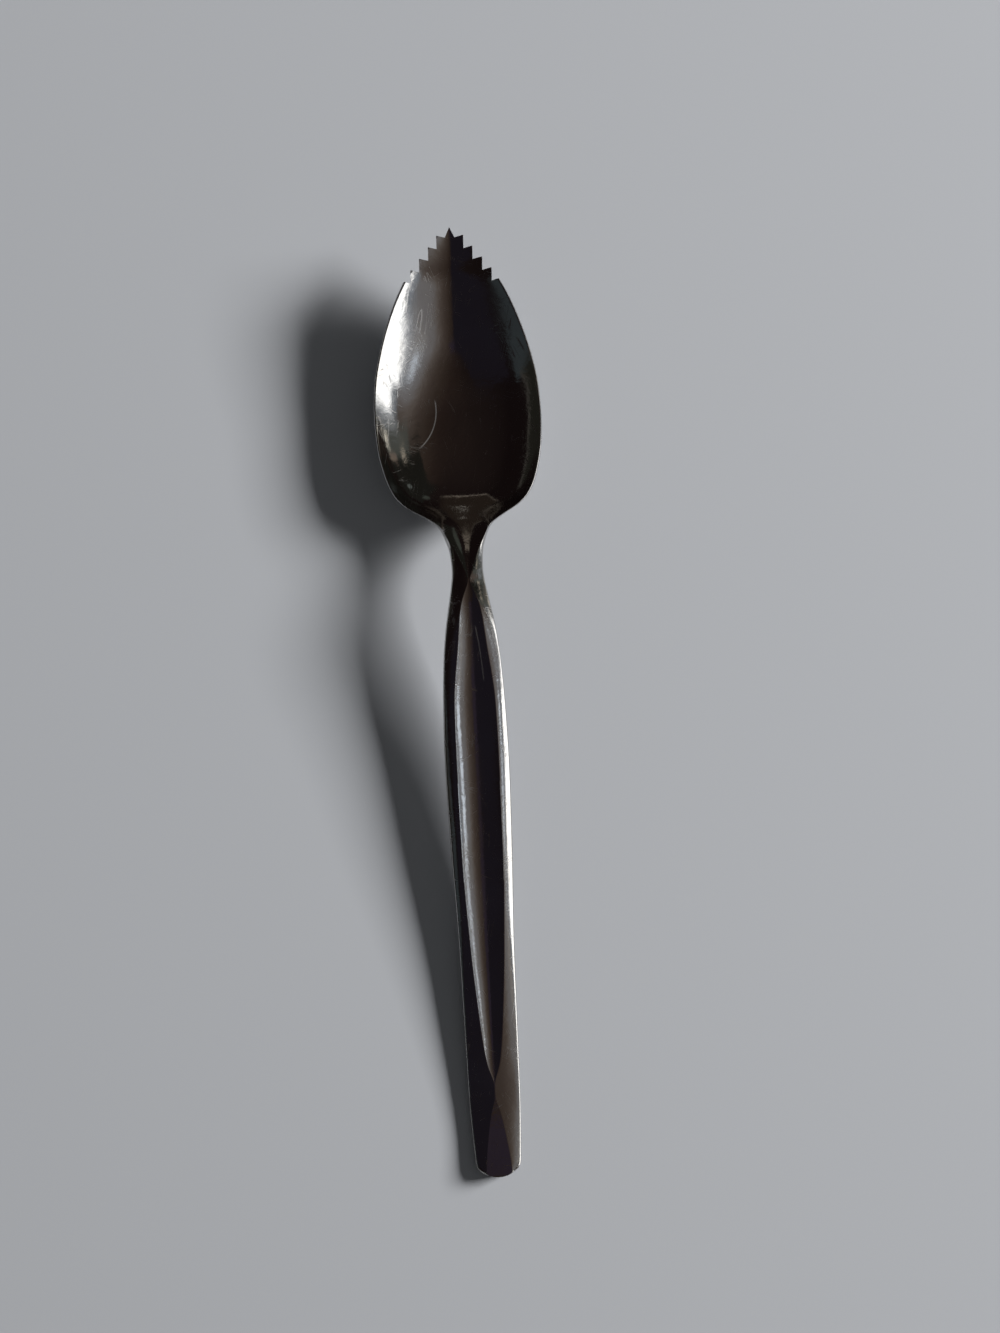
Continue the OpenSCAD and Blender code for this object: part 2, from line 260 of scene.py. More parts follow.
def open_half(s):
    """Half the width between the ridges."""
    if s < BOWL_LEN:
        return half_width(s) - EDGE_R - RIM_LAND
    if s < CROSSING:
        mouth = half_width(BOWL_LEN) - EDGE_R - RIM_LAND
        return curve(sized(FUNNEL_SHARES, BOWL_LEN, NECK_LEN, 0, mouth), s)
    if s < GROOVE_END:
        return curve(LENS, s)
    return 0 if s < FACET_START else curve(FACET, s)


def bowed(x, half, power):
    """A curve across the spoon, from 1 in the middle to 0 at half the width."""
    return 1 - min(1, abs(x) / half) ** power


print("width of the hollow in the bowl, mm:", round(2 * open_half(BOWL_LEN / 2), 2))

# %% [markdown]
# A section has a narrow rim or a bevel on each side and a hollow between them. The hollow is a
# curve with a power: a low power gives the tip an open valley, a high one gives the back of the
# bowl a flat floor with steep walls, and 2 gives the handle a shallow arc. The underside follows
# the bowl at the metal's thickness, and is a low belly elsewhere.

# %% Section
HOLLOW_STEPS, BEVEL_STEPS = 16, 3


class Section:
    """The heights of the top and the underside across one place on the spoon."""

    def __init__(self, s):
        self.half = half_width(s)
        self.rim = self.half - EDGE_R
        self.ridge = max(RIDGE_W / 2, min(open_half(s), self.rim - RIDGE_W))
        self.high = curve(EDGE_HEIGHTS, s)
        self.low = self.high - curve(THICKNESSES, s)
        self.rise = curve(RIDGES, s)
        self.deep = curve(HOLLOW_DEPTHS, s)
        self.power = curve(POWERS, s)
        self.belly = curve(BELLIES, s)
        end = max(0, min(1, (s - spoon_len) / EDGE_R + 1))
        self.pinch = EDGE_R * (1 - math.sqrt(1 - end * end))
        u = max(0, min(1, (s - HEEL_START) / (HEEL_END - HEEL_START)))
        self.slim = u * u * (3 - 2 * u)

    def top(self, x):
        """Height of the top at a distance from the middle line."""
        t = max(0, abs(x) - self.ridge) / (self.rim - self.ridge)
        bevel = self.high + self.rise - self.rise * (t + t * t) / 2
        return bevel - self.deep * bowed(x, self.ridge, self.power)

    def under(self, x):
        """Height of the underside, worn flat where it would pass below the table's top."""
        bowl = (1 - self.slim) * self.deep * bowed(x, self.rim, self.power)
        return max(0, self.low - bowl - self.slim * self.belly * bowed(x, self.half, 2))

    def ring(self):
        """The section's outline: top from left to right, then back along the underside."""
        bevel = [self.rim + (self.ridge - self.rim) * i / BEVEL_STEPS for i in range(BEVEL_STEPS)]
        spread = [1 - 2 * i / HOLLOW_STEPS for i in range(HOLLOW_STEPS // 2)]
        hollow = [self.ridge * (u + math.sin(math.pi / 2 * u)) / 2 for u in spread]
        half = bevel + hollow
        xs = [-x for x in half] + [0] + half[::-1]
        top = [(x, self.top(x) - self.pinch) for x in xs]
        under = [(x, self.under(x) + self.pinch) for x in reversed(xs)]
        side = EDGE_R + self.pinch / 2
        right = [(self.half, self.high - side), (self.half, self.low + side)]
        left = [(-x, z) for x, z in reversed(right)]
        return top + right + under + left


ROW = 2 * BEVEL_STEPS + HOLLOW_STEPS + 1
RING = 2 * ROW + 4
print("points round a section:", RING)


# %% [markdown]
# ## The blank
# The real blank is one sheet from tip to end. A squashed sphere for the bowl and a box for the
# handle would be quicker, but the mirror images would break where the two join. So the whole
# blank is one skin, with a row of points for each section. The rows lie closer together where
# the form changes quickly, at the heel and along the neck.

# %% Places of the sections
TIP_STEPS, BOWL_STEPS, HEEL_STEPS = 12, 20, 26
GROOVE_STEPS, FACET_STEPS, END_STEPS = 40, 12, 8


def spaced(start, end, count):
    """Places from a start to just before an end."""
    return [start + (end - start) * i / count for i in range(count)]


def stations():
    """Places of the sections, closer together where the form changes quickly."""
    end_start = spoon_len - END_ROUND
    return (
        spaced(-OVERRUN, TIP_LEN, TIP_STEPS)
        + spaced(TIP_LEN, HEEL_START - NECK_W, BOWL_STEPS)
        + spaced(HEEL_START - NECK_W, CROSSING, HEEL_STEPS)
        + spaced(CROSSING, GROOVE_END, GROOVE_STEPS)
        + spaced(GROOVE_END, end_start, FACET_STEPS)
        + [end_start + END_ROUND * math.sin(math.pi / 2 * i / END_STEPS)
           for i in range(END_STEPS + 1)]
    )


print("sections:", len(stations()))

# %% [markdown]
# A grid is added with a row for each section and a column for each point round it. It is rolled
# up and pressed by moving every point to its place in its section. The seam, where the rolled
# sheet meets itself, is merged. Along the tip the skin is made a little too wide, because the
# teeth are cut from it later.

# %% Press the blank
def press_blank():
    """The whole spoon as one open-ended cage, rolled up from a grid."""
    places = stations()
    bpy.ops.object.select_all(action="DESELECT")
    bpy.ops.mesh.primitive_grid_add(
        x_subdivisions=RING, y_subdivisions=len(places) - 1, size=spoon_len * MM)
    sheet = bpy.context.object
    sheet.name = "spoon_blank"
    bpy.ops.object.mode_set(mode="EDIT")
    mesh = bmesh.from_edit_mesh(sheet.data)
    mesh.verts.ensure_lookup_table()
    for row, s in enumerate(places):
        section = Section(s)
        points = section.ring()
        wider = OVERRUN * max(0, 1 - s / SHOULDER)
        for column in range(RING + 1):
            x, z = points[column % RING]
            if abs(x) > section.rim - RIDGE_W / 2:
                x += math.copysign(wider, x)
            mesh.verts[row * (RING + 1) + column].co = (x * MM, (spoon_len / 2 - s) * MM, z * MM)
    bmesh.update_edit_mesh(sheet.data)
    bpy.ops.mesh.select_all(action="SELECT")
    bpy.ops.mesh.remove_doubles(threshold=SAME_PLACE / 10 * MM)
    bpy.ops.object.mode_set(mode="OBJECT")
    return sheet


blank = press_blank()
print("cage points:", len(blank.data.vertices))

# %% [markdown]
# The ends are still open. Their edge loops are filled with one face each, and the normals are
# made to point out.

# %% Close the ends
def only(obj):
    """Leaves one object selected and active."""
    bpy.ops.object.select_all(action="DESELECT")
    obj.select_set(True)
    bpy.context.view_layer.objects.active = obj


def close_ends(obj):
    """Fills the open loops at both ends and turns all faces outwards."""
    only(obj)
    bpy.ops.object.mode_set(mode="EDIT")
    bpy.ops.mesh.select_all(action="DESELECT")
    bpy.ops.mesh.select_mode(type="EDGE")
    bpy.ops.mesh.select_non_manifold()
    mesh = bmesh.from_edit_mesh(obj.data)
    for end in (-1, 1):
        loop = [e for e in mesh.edges if e.is_boundary and e.verts[0].co.y * end > 0]
        bmesh.ops.contextual_create(mesh, geom=loop)
    bmesh.update_edit_mesh(obj.data)
    bpy.ops.mesh.select_all(action="SELECT")
    bpy.ops.mesh.normals_make_consistent(inside=False)
    bpy.ops.object.mode_set(mode="OBJECT")
    print("cage faces:", len(obj.data.polygons))


close_ends(blank)

# %% [markdown]
# On the real spoon a grinding wheel left a crisp ridge on each side of the hollow. A bevel would
# turn each ridge into two softer ones, so it stays one line of edges with a crease, which holds
# it when the cage is subdivided: strong where the handle was ground, weaker in the neck, and
# weakest along the polished rim of the bowl.

# %% Crease the ridges
RIM_CREASE, NECK_CREASE, HANDLE_CREASE, FACET_CREASE = 0.3, 0.5, 0.85, 0.6


def crease_for(s):
    """How strongly the ridges are creased at a place."""
    if s < BOWL_LEN:
        return RIM_CREASE
    if s < CROSSING:
        return NECK_CREASE
    return HANDLE_CREASE if s < FACET_START else FACET_CREASE


def crease_ridges(obj):
    """Creases the two lines of points that bound the hollow along the whole spoon."""
    mesh = bmesh.new()
    mesh.from_mesh(obj.data)
    crease = mesh.edges.layers.float.new("crease_edge")
    creased = 0
    for edge in mesh.edges:
        a, b = edge.verts
        s = spoon_len / 2 - (a.co.y + b.co.y) / 2 / MM
        if abs(a.co.y - b.co.y) < abs(a.co.x - b.co.x) or s < 0 or s > spoon_len - SAME_PLACE:
            continue
        sections = [Section(spoon_len / 2 - v.co.y / MM) for v in edge.verts]
        on_ridge = all(
            abs(abs(v.co.x) / MM - section.ridge) < SAME_PLACE
            and v.co.z / MM > section.high - SAME_PLACE
            for v, section in zip(edge.verts, sections))
        if on_ridge:
            edge[crease] = crease_for(s)
            creased += 1
    mesh.to_mesh(obj.data)
    mesh.free()
    print("creased edges:", creased)


crease_ridges(blank)

# %% [markdown]
# The cage is coarse. A Subdivision Surface turns it into a skin that is smooth enough to mirror
# a room.

# %% Smooth the blank
SMOOTH_LEVELS = 2


def finish_with(obj, kind, **settings):
    """Adds a modifier with its settings and applies it."""
    only(obj)
    modifier = obj.modifiers.new(kind.lower(), kind)
    for name, value in settings.items():
        setattr(modifier, name, value)
    bpy.ops.object.modifier_apply(modifier=modifier.name)


finish_with(blank, "SUBSURF", levels=SMOOTH_LEVELS, render_levels=SMOOTH_LEVELS)
only(blank)
bpy.ops.object.shade_smooth()
print("blank faces:", len(blank.data.polygons))


# %% [markdown]
# ## The teeth
# The teeth of a real spoon are nicked out of the edge by a press tool. Wedges could be added
# one by one, but they would not share the bowl's curve. So the tool's way is taken: the outline
# of the toothed tip is drawn as a flat ring of points and extruded into a tall block, and only
# what is inside the block is kept.

# %% Teeth cutter
def toothed_outline():
    """Corners of the toothed end: the point, then an inner and an outer corner for each tooth."""
    side = []
    for i in range(TEETH + 1):
        place = FIRST_TOOTH + i * TOOTH_PITCH
        inner = CENTRE_TOOTH_W / 2 if i == 0 else curve(OUTLINE, place - TOOTH_PITCH)
        side += [(inner, place + TOOTH_HOOK), (curve(OUTLINE, place), place)]
    side += [(BOWL_W, SHOULDER), (BOWL_W, TIP_LEN + BOWL_W)]
    return [(0, 0)] + side + [(-x, s) for x, s in reversed(side)]


def make_cutter():
    """A tall block with the toothed outline."""
    corners = toothed_outline()
    bpy.ops.object.select_all(action="DESELECT")
    bpy.ops.mesh.primitive_circle_add(vertices=len(corners), radius=BOWL_W * MM, fill_type="NGON")
    block = bpy.context.object
    block.name = "teeth_cutter"
    bpy.ops.object.mode_set(mode="EDIT")
    mesh = bmesh.from_edit_mesh(block.data)
    for vert, (x, s) in zip(mesh.verts, corners):
        vert.co = (x * MM, (spoon_len / 2 - s) * MM, -BOWL_W * MM)
    bmesh.update_edit_mesh(block.data)
    bpy.ops.mesh.select_all(action="SELECT")
    bpy.ops.mesh.extrude_region_move(TRANSFORM_OT_translate={"value": (0, 0, 2 * BOWL_W * MM)})
    bpy.ops.mesh.select_all(action="SELECT")
    bpy.ops.mesh.normals_make_consistent(inside=False)
    bpy.ops.object.mode_set(mode="OBJECT")
    return block


cutter = make_cutter()
print("corners of the toothed outline:", len(toothed_outline()))

# %% [markdown]
# ## Four regions
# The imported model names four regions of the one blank. Four shapes made one by one would need
# their edges matched, so each is cut from a copy of the smooth blank instead. Bisect also fills
# the cut, so each region is a closed solid and meets its neighbour face to face.

# %% Divide the blank
REGIONS = {
    "serrated_tip": (-2 * OVERRUN, TIP_LEN),
    "bowl": (TIP_LEN, BOWL_LEN),
    "neck": (BOWL_LEN, CROSSING),
    "handle": (CROSSING, spoon_len + 2 * OVERRUN),
}
SHARP_ANGLE = math.radians(35)


def cut_off(obj, place, keep_front):
    """Cuts an object square to its length and keeps the part in front of the cut or behind it."""
    only(obj)
    bpy.ops.object.mode_set(mode="EDIT")
    bpy.ops.mesh.select_all(action="SELECT")
    bpy.ops.mesh.bisect(
        plane_co=(0, (spoon_len / 2 - place) * MM, 0), plane_no=(0, 1, 0), use_fill=True,
        clear_inner=keep_front, clear_outer=not keep_front, threshold=SAME_PLACE * MM)
    bpy.ops.object.mode_set(mode="OBJECT")


def cut_region(node, start, end):
    """One region of the blank as its own closed object."""
    piece = bpy.data.objects.new(node.replace("serrated_", "") + "_steel", blank.data.copy())
    bpy.context.scene.collection.objects.link(piece)
    if start > 0:
        cut_off(piece, start, keep_front=False)
    if end < spoon_len:
        cut_off(piece, end, keep_front=True)
    if start < 0:
        finish_with(piece, "BOOLEAN", operation="INTERSECT", object=cutter, solver="EXACT")
    only(piece)
    bpy.ops.object.shade_smooth_by_angle(angle=SHARP_ANGLE)
    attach(piece, "root")
    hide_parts(node)
    print(piece.name, "faces:", len(piece.data.polygons))
    return piece


pieces = {node: cut_region(node, *region) for node, region in REGIONS.items()}


# %% [markdown]
# A mirror finish shows the slightest change of direction, and the shading at a cut edge only
# knows its own side. The uncut blank knows both, so its normals are copied onto the points
# along each cut. The metal then runs on across the regions with no line.

# %% Hide the cuts
def copy_seam_normals(piece, places):
    """Takes the blank's own normals at the points that lie in a cut."""
    cuts = [(spoon_len / 2 - place) * MM for place in places]
    seam = [v.index for v in piece.data.vertices
            if min(abs(v.co.y - y) for y in cuts) < 2 * SAME_PLACE * MM]
    piece.vertex_groups.new(name="seam").add(seam, 1, "REPLACE")
    finish_with(
        piece, "DATA_TRANSFER", object=blank, use_loop_data=True,
        data_types_loops={"CUSTOM_NORMAL"}, loop_mapping="POLYINTERP_NEAREST", vertex_group="seam")
    piece.vertex_groups.clear()
    print(piece.name, "points in the cuts:", len(seam))


for piece in pieces.values():
    copy_seam_normals(piece, [TIP_LEN, BOWL_LEN, CROSSING])
bpy.data.objects.remove(cutter)
bpy.data.objects.remove(blank)


# %% [markdown]
# ## Steel
# Polished stainless steel has almost no colour of its own: it shows the room. What makes it
# look used is its roughness. Years of washing leave hairline scratches in every direction,
# and fingers leave faint dull patches. Pictures of scratches would repeat and need files, so the
# marks are worked out from noise. Each kind is a group, so that its scale and strength are set
# where it is used. A few helpers add and link the nodes.

# %% Node helpers
def new_group(name, inputs, outputs):
    """An empty node group with named sockets, and its input and output nodes."""
    tree = bpy.data.node_groups.new(name, "ShaderNodeTree")
    for label, kind in inputs:
        tree.interface.new_socket(label, in_out="INPUT", socket_type=kind)
    for label, kind in outputs:
        tree.interface.new_socket(label, in_out="OUTPUT", socket_type=kind)
    return tree, tree.nodes.new("NodeGroupInput"), tree.nodes.new("NodeGroupOutput")


def add_node(tree, kind, inputs=None, **settings):
    """Adds a node, sets its properties, and sets or links its inputs by name or number."""
    node = tree.nodes.new(kind)
    for name, value in settings.items():
        setattr(node, name, value)
    for key, value in (inputs or {}).items():
        if isinstance(value, bpy.types.NodeSocket):
            tree.links.new(value, node.inputs[key])
        else:
            node.inputs[key].default_value = value
    return node


def calc(tree, operation, *values):
    """The result of a math node."""
    node = add_node(tree, "ShaderNodeMath", dict(enumerate(values)), operation=operation)
    return node.outputs[0]


def remap(tree, value, low, high, to_low=0.0, to_high=1.0):
    """A value moved smoothly from one range to another, and held inside it."""
    node = add_node(tree, "ShaderNodeMapRange", {
        "Value": value, "From Min": low, "From Max": high, "To Min": to_low, "To Max": to_high,
    }, interpolation_type="SMOOTHSTEP")
    return node.outputs[0]


# %% [markdown]
# A hairline scratch is drawn where a noise pattern, stretched long in one direction, crosses its
# middle value: that gives thin lines that wander and end like real ones. A second, larger noise
# keeps them in patches.

# %% Hairline group
PATCHES_PER_METRE, PATCH_FADE = 260, 0.12


def make_hairlines():
    """Thin scratches in one direction, kept in patches."""
    tree, given, result = new_group(
        "hairlines",
        [("Vector", "NodeSocketVector"), ("Turn", "NodeSocketFloat"),
         ("Per metre across", "NodeSocketFloat"), ("Per metre along", "NodeSocketFloat"),
         ("Width", "NodeSocketFloat"), ("Cover", "NodeSocketFloat")],
        [("Mask", "NodeSocketFloat")])
    turned = add_node(tree, "ShaderNodeVectorRotate", {
        "Vector": given.outputs["Vector"], "Angle": given.outputs["Turn"]}, rotation_type="Z_AXIS")
    stretch = add_node(tree, "ShaderNodeCombineXYZ", {
        "X": given.outputs["Per metre across"], "Y": given.outputs["Per metre along"],
        "Z": given.outputs["Per metre along"]})
    place = add_node(tree, "ShaderNodeVectorMath", {
        0: turned.outputs[0], 1: stretch.outputs[0]}, operation="MULTIPLY")
    shifted = add_node(tree, "ShaderNodeVectorMath", {
        0: place.outputs[0], 1: given.outputs["Turn"]}, operation="ADD")
    wander = add_node(tree, "ShaderNodeTexNoise", {
        "Vector": shifted.outputs[0], "Scale": 1, "Detail": 1, "Roughness": 0.4})
    off_middle = calc(tree, "ABSOLUTE", calc(tree, "SUBTRACT", wander.outputs["Fac"], 0.5))
    line = remap(tree, off_middle, 0, given.outputs["Width"], 1, 0)
    patches = add_node(tree, "ShaderNodeTexNoise", {
        "Vector": turned.outputs[0], "Scale": PATCHES_PER_METRE, "Detail": 2, "Roughness": 0.6})
    bare = calc(tree, "SUBTRACT", 1, given.outputs["Cover"])
    edge = calc(tree, "ADD", bare, PATCH_FADE)
    patch = remap(tree, patches.outputs["Fac"], bare, edge)
    tree.links.new(calc(tree, "MULTIPLY", line, patch), result.inputs["Mask"])
    return tree


hairlines = make_hairlines()
print("hairline nodes:", len(hairlines.nodes))


# %% [markdown]
# Two longer scratches stand out on this spoon, one in the bowl and one on the handle. Cut as
# grooves they would need a far finer mesh. Each is part of a circle, so the distance from a
# point beside the spoon is enough to draw it.

# %% Arc scratch group
SCRATCH_FADE = 1


def make_arc_scratch():
    """One curved scratch: a stretch of a circle seen from above."""
    tree, given, result = new_group(
        "arc_scratch",
        [("Vector", "NodeSocketVector"), ("Centre", "NodeSocketVector"),
         ("Radius", "NodeSocketFloat"), ("Width", "NodeSocketFloat"),
         ("Start", "NodeSocketFloat"), ("End", "NodeSocketFloat")],
        [("Mask", "NodeSocketFloat")])
    flat = add_node(tree, "ShaderNodeVectorMath", {
        0: given.outputs["Vector"], 1: (1, 1, 0)}, operation="MULTIPLY")
    reach = add_node(tree, "ShaderNodeVectorMath", {
        0: flat.outputs[0], 1: given.outputs["Centre"]}, operation="DISTANCE")
    past = calc(tree, "SUBTRACT", reach.outputs["Value"], given.outputs["Radius"])
    line = remap(tree, calc(tree, "ABSOLUTE", past), 0, given.outputs["Width"], 1, 0)
    y = add_node(tree, "ShaderNodeSeparateXYZ", {0: given.outputs["Vector"]}).outputs["Y"]
    start, end = given.outputs["Start"], given.outputs["End"]
    after = remap(tree, y, start, calc(tree, "ADD", start, SCRATCH_FADE * MM))
    before = remap(tree, y, calc(tree, "SUBTRACT", end, SCRATCH_FADE * MM), end, 1, 0)
    inside = calc(tree, "MULTIPLY", after, before)
    tree.links.new(calc(tree, "MULTIPLY", line, inside), result.inputs["Mask"])
    return tree


arc_scratch = make_arc_scratch()
print("arc scratch nodes:", len(arc_scratch.nodes))


# %% [markdown]
# Smudges are broad and soft. They dull the polish a little and never have an edge, so one noise
# with a gentle ramp makes them. The same group, at other scales, gives the tarnish and the waves.

# %% Smudge group
SMUDGE_FROM, SMUDGE_FULL = 0.35, 0.7


def make_smudges():
    """Broad soft patches from washing and handling."""
    tree, given, result = new_group(
        "smudges",
        [("Vector", "NodeSocketVector"), ("Per metre", "NodeSocketFloat")],
        [("Mask", "NodeSocketFloat")])
    cloud = add_node(tree, "ShaderNodeTexNoise", {
        "Vector": given.outputs["Vector"], "Scale": given.outputs["Per metre"],
        "Detail": 4, "Roughness": 0.6, "Distortion": 0.6})
    mask = remap(tree, cloud.outputs["Fac"], SMUDGE_FROM, SMUDGE_FULL)
    tree.links.new(mask, result.inputs["Mask"])
    return tree


smudges = make_smudges()
print("smudge nodes:", len(smudges.nodes))


# %% [markdown]
# The steel itself is a metallic Principled BSDF. Smudges and scratches raise its roughness, and
# the scratches also dent it by a few thousandths of a millimetre. The two long ones scatter
# light to every side, so they are made a little less metallic. Polishing by hand leaves the
# surface slightly wavy, which a second bump adds, and a faint tarnish shifts the colour between
# warm and cool.

# %% Steel
STEEL_LIGHT, STEEL_WARM = (0.6, 0.6, 0.6, 1), (0.54, 0.525, 0.5, 1)
POLISH, SMUDGED, SCRATCHED = 0.09, 0.09, 0.28
SMUDGES_PER_METRE, TARNISH_PER_METRE, WAVES_PER_METRE = 110, 45, 500
DENT_DEPTH, DENT_STRENGTH, WAVE_HEIGHT = 0.004, 0.5, 0.007
# Turn, lines per metre across and along, width and cover of each set of hairlines
HAIRLINE_SETS = (
    (0.2, 900, 50, 0.02, 0.5),
    (1.1, 800, 60, 0.016, 0.45),
    (1.9, 1000, 70, 0.018, 0.45),
    (2.7, 850, 55, 0.016, 0.45),
)
# Centre, radius, start and end along Y of each long scratch, in millimetres
ARC_SCRATCHES = (
    ((-11.7, 50.8), 8.4, 43.9, 52.6),
    ((-69.3, 1.0), 71.1, 4.0, 13.9),
)
ARC_WIDTH, ARC_ROUGH, ARC_MATT = 0.16, 0.4, 0.13


def make_steel():
    """Worn polished steel for one slot, shared by the four regions."""
    material = bpy.data.materials.new("polished_steel")
    material.use_nodes = True
    tree = material.node_tree
    shader = tree.nodes["Principled BSDF"]
    where = add_node(tree, "ShaderNodeTexCoord").outputs["Object"]

    def placed(group, **inputs):
        """The mask of a group that reads the piece's own coordinates."""
        node = add_node(tree, "ShaderNodeGroup", node_tree=group)
        tree.links.new(where, node.inputs["Vector"])
        for name, value in inputs.items():
            node.inputs[name.replace("_", " ").capitalize()].default_value = value
        return node.outputs["Mask"]

    def strongest(masks):
        """The highest of several masks."""
        return reduce(lambda a, b: calc(tree, "MAXIMUM", a, b), masks)

    fine = strongest([
        placed(hairlines, turn=turn, per_metre_across=across, per_metre_along=along,
               width=width, cover=cover)
        for turn, across, along, width, cover in HAIRLINE_SETS])
    long = strongest([
        placed(arc_scratch, centre=(x * MM, y * MM, 0), radius=radius * MM,
               width=ARC_WIDTH * MM, start=start * MM, end=end * MM)
        for (x, y), radius, start, end in ARC_SCRATCHES])
    smudge = placed(smudges, per_metre=SMUDGES_PER_METRE)
    tarnish = placed(smudges, per_metre=TARNISH_PER_METRE)
    waves = placed(smudges, per_metre=WAVES_PER_METRE)
    rough = POLISH
    for mask, amount in ((smudge, SMUDGED), (fine, SCRATCHED), (long, ARC_ROUGH)):
        rough = calc(tree, "ADD", rough, calc(tree, "MULTIPLY", mask, amount))
    tree.links.new(rough, shader.inputs["Roughness"])
    metal = calc(tree, "SUBTRACT", 1, calc(tree, "MULTIPLY", long, ARC_MATT))
    tree.links.new(metal, shader.inputs["Metallic"])
    colour = add_node(
        tree, "ShaderNodeMix", {0: tarnish, 6: STEEL_LIGHT, 7: STEEL_WARM}, data_type="RGBA")
    tree.links.new(colour.outputs[2], shader.inputs["Base Color"])
    dent = add_node(tree, "ShaderNodeBump", {
        "Height": strongest([fine, long]), "Strength": DENT_STRENGTH,
        "Distance": DENT_DEPTH * MM}, invert=True)
    wave = add_node(tree, "ShaderNodeBump", {
        "Height": waves, "Strength": 1, "Distance": WAVE_HEIGHT * MM,
        "Normal": dent.outputs["Normal"]})
    tree.links.new(wave.outputs["Normal"], shader.inputs["Normal"])
    return material


steel = make_steel()
for piece in pieces.values():
    piece.data.materials.clear()
    piece.data.materials.append(steel)
print("material nodes:", len(steel.node_tree.nodes))


# %% [markdown]
# ## Studio
# The floor is plain and pale, so that only the spoon and its shadow are seen. It lies a hair
# under the spoon, because two faces in one plane would flicker.

# %% Floor
FLOOR_COLOUR, FLOOR_ROUGH, FLOOR_SHEEN = (0.42, 0.43, 0.45, 1), 0.9, 0.1
FLOOR_SIZE, FLOOR_GAP = 6.0, 0.03 * MM


def add_floor():
    """A plain pale floor just under the spoon."""
    bpy.ops.object.select_all(action="DESELECT")
    bpy.ops.mesh.primitive_plane_add(size=FLOOR_SIZE, location=(0, 0, 0))
    floor = bpy.context.object
    floor.name = "floor"
    floor.data.transform(Matrix.Translation((0, 0, -FLOOR_GAP)))
    material = bpy.data.materials.new("pale_floor")
    material.use_nodes = True
    shader = material.node_tree.nodes["Principled BSDF"]
    shader.inputs["Base Color"].default_value = FLOOR_COLOUR
    shader.inputs["Roughness"].default_value = FLOOR_ROUGH
    shader.inputs["Specular IOR Level"].default_value = FLOOR_SHEEN
    floor.data.materials.append(material)
    print("floor, m:", [round(size, 2) for size in floor.dimensions])


add_floor()

# %% [markdown]
# One soft lamp stands low at the right and a little towards the tip. It lays the shadow to the
# left, as long as the metal is high above the floor, so the shadow tells how far the bowl and
# the neck stand up. A sun would give it a hard edge, and the real one is soft, so the lamp has
# the size of a window.

# %% Lamp
WINDOW_TURN, WINDOW_RISE, WINDOW_DISTANCE = math.radians(15), math.radians(20.5), 2.4
WINDOW_W, WINDOW_H = 0.4 * WINDOW_DISTANCE, 0.25 * WINDOW_DISTANCE
WINDOW_POWER = 24.7 * WINDOW_DISTANCE ** 2


def heading(turn, rise):
    """A direction from its turn away from +X and its rise above the floor."""
    return Vector((
        math.cos(turn) * math.cos(rise), math.sin(turn) * math.cos(rise), math.sin(rise)))


def add_window():
    """The soft lamp that stands in for the window."""
    data = bpy.data.lights.new("window", "AREA")
    data.shape = "RECTANGLE"
    data.size, data.size_y = WINDOW_W, WINDOW_H
    data.energy = WINDOW_POWER
    lamp = bpy.data.objects.new("window", data)
    towards = heading(WINDOW_TURN, WINDOW_RISE)
    lamp.location = towards * WINDOW_DISTANCE
    lamp.rotation_euler = towards.to_track_quat("Z", "Y").to_euler()
    lamp.visible_glossy = False
    bpy.context.scene.collection.objects.link(lamp)
    print("lamp power, W:", round(data.energy, 1))


add_window()

# %% [markdown]
# A polished spoon is lit by what it mirrors. Photographers stand a tent and cards round such a
# thing: bright on the window's side, dark on the others, so that every facet reads. A picture
# of a room could do that too, but it would need a file, and a card can be put exactly where an
# image is wanted. Tent and cards glow by themselves, and only mirror rays see them.

# %% Helpers for what the metal mirrors
def glowing(name):
    """An emission material, its tree and its emission node."""
    material = bpy.data.materials.new(name)
    material.use_nodes = True
    tree = material.node_tree
    tree.nodes.clear()
    glow = add_node(tree, "ShaderNodeEmission")
    add_node(tree, "ShaderNodeOutputMaterial", {0: glow.outputs[0]})
    return material, tree, glow


def only_mirrored(obj):
    """Hides a stage object from every ray but mirror rays."""
    for ray in ("camera", "diffuse", "transmission", "volume_scatter", "shadow"):
        setattr(obj, "visible_" + ray, False)


# %% [markdown]
# The tent is a shell round everything. It is brightest a little above the window and fades to
# almost black on the far side, as the walls of a room with one window do.

# %% Tent
TENT_RADIUS, TENT_ROUNDNESS = 1.0, 4
TENT_TURN, TENT_RISE = math.radians(-22), math.radians(40)
# Closeness to the brightest direction, and the colour there
TENT_STOPS = (
    (0.0, (0.008, 0.005, 0.005)), (0.6, (0.015, 0.01, 0.009)), (0.72, (0.026, 0.017, 0.014)),
    (0.8, (0.04, 0.028, 0.022)), (0.88, (0.062, 0.046, 0.038)), (0.92, (0.085, 0.066, 0.056)),
    (0.95, (0.13, 0.108, 0.095)), (0.975, (0.19, 0.18, 0.18)),
)


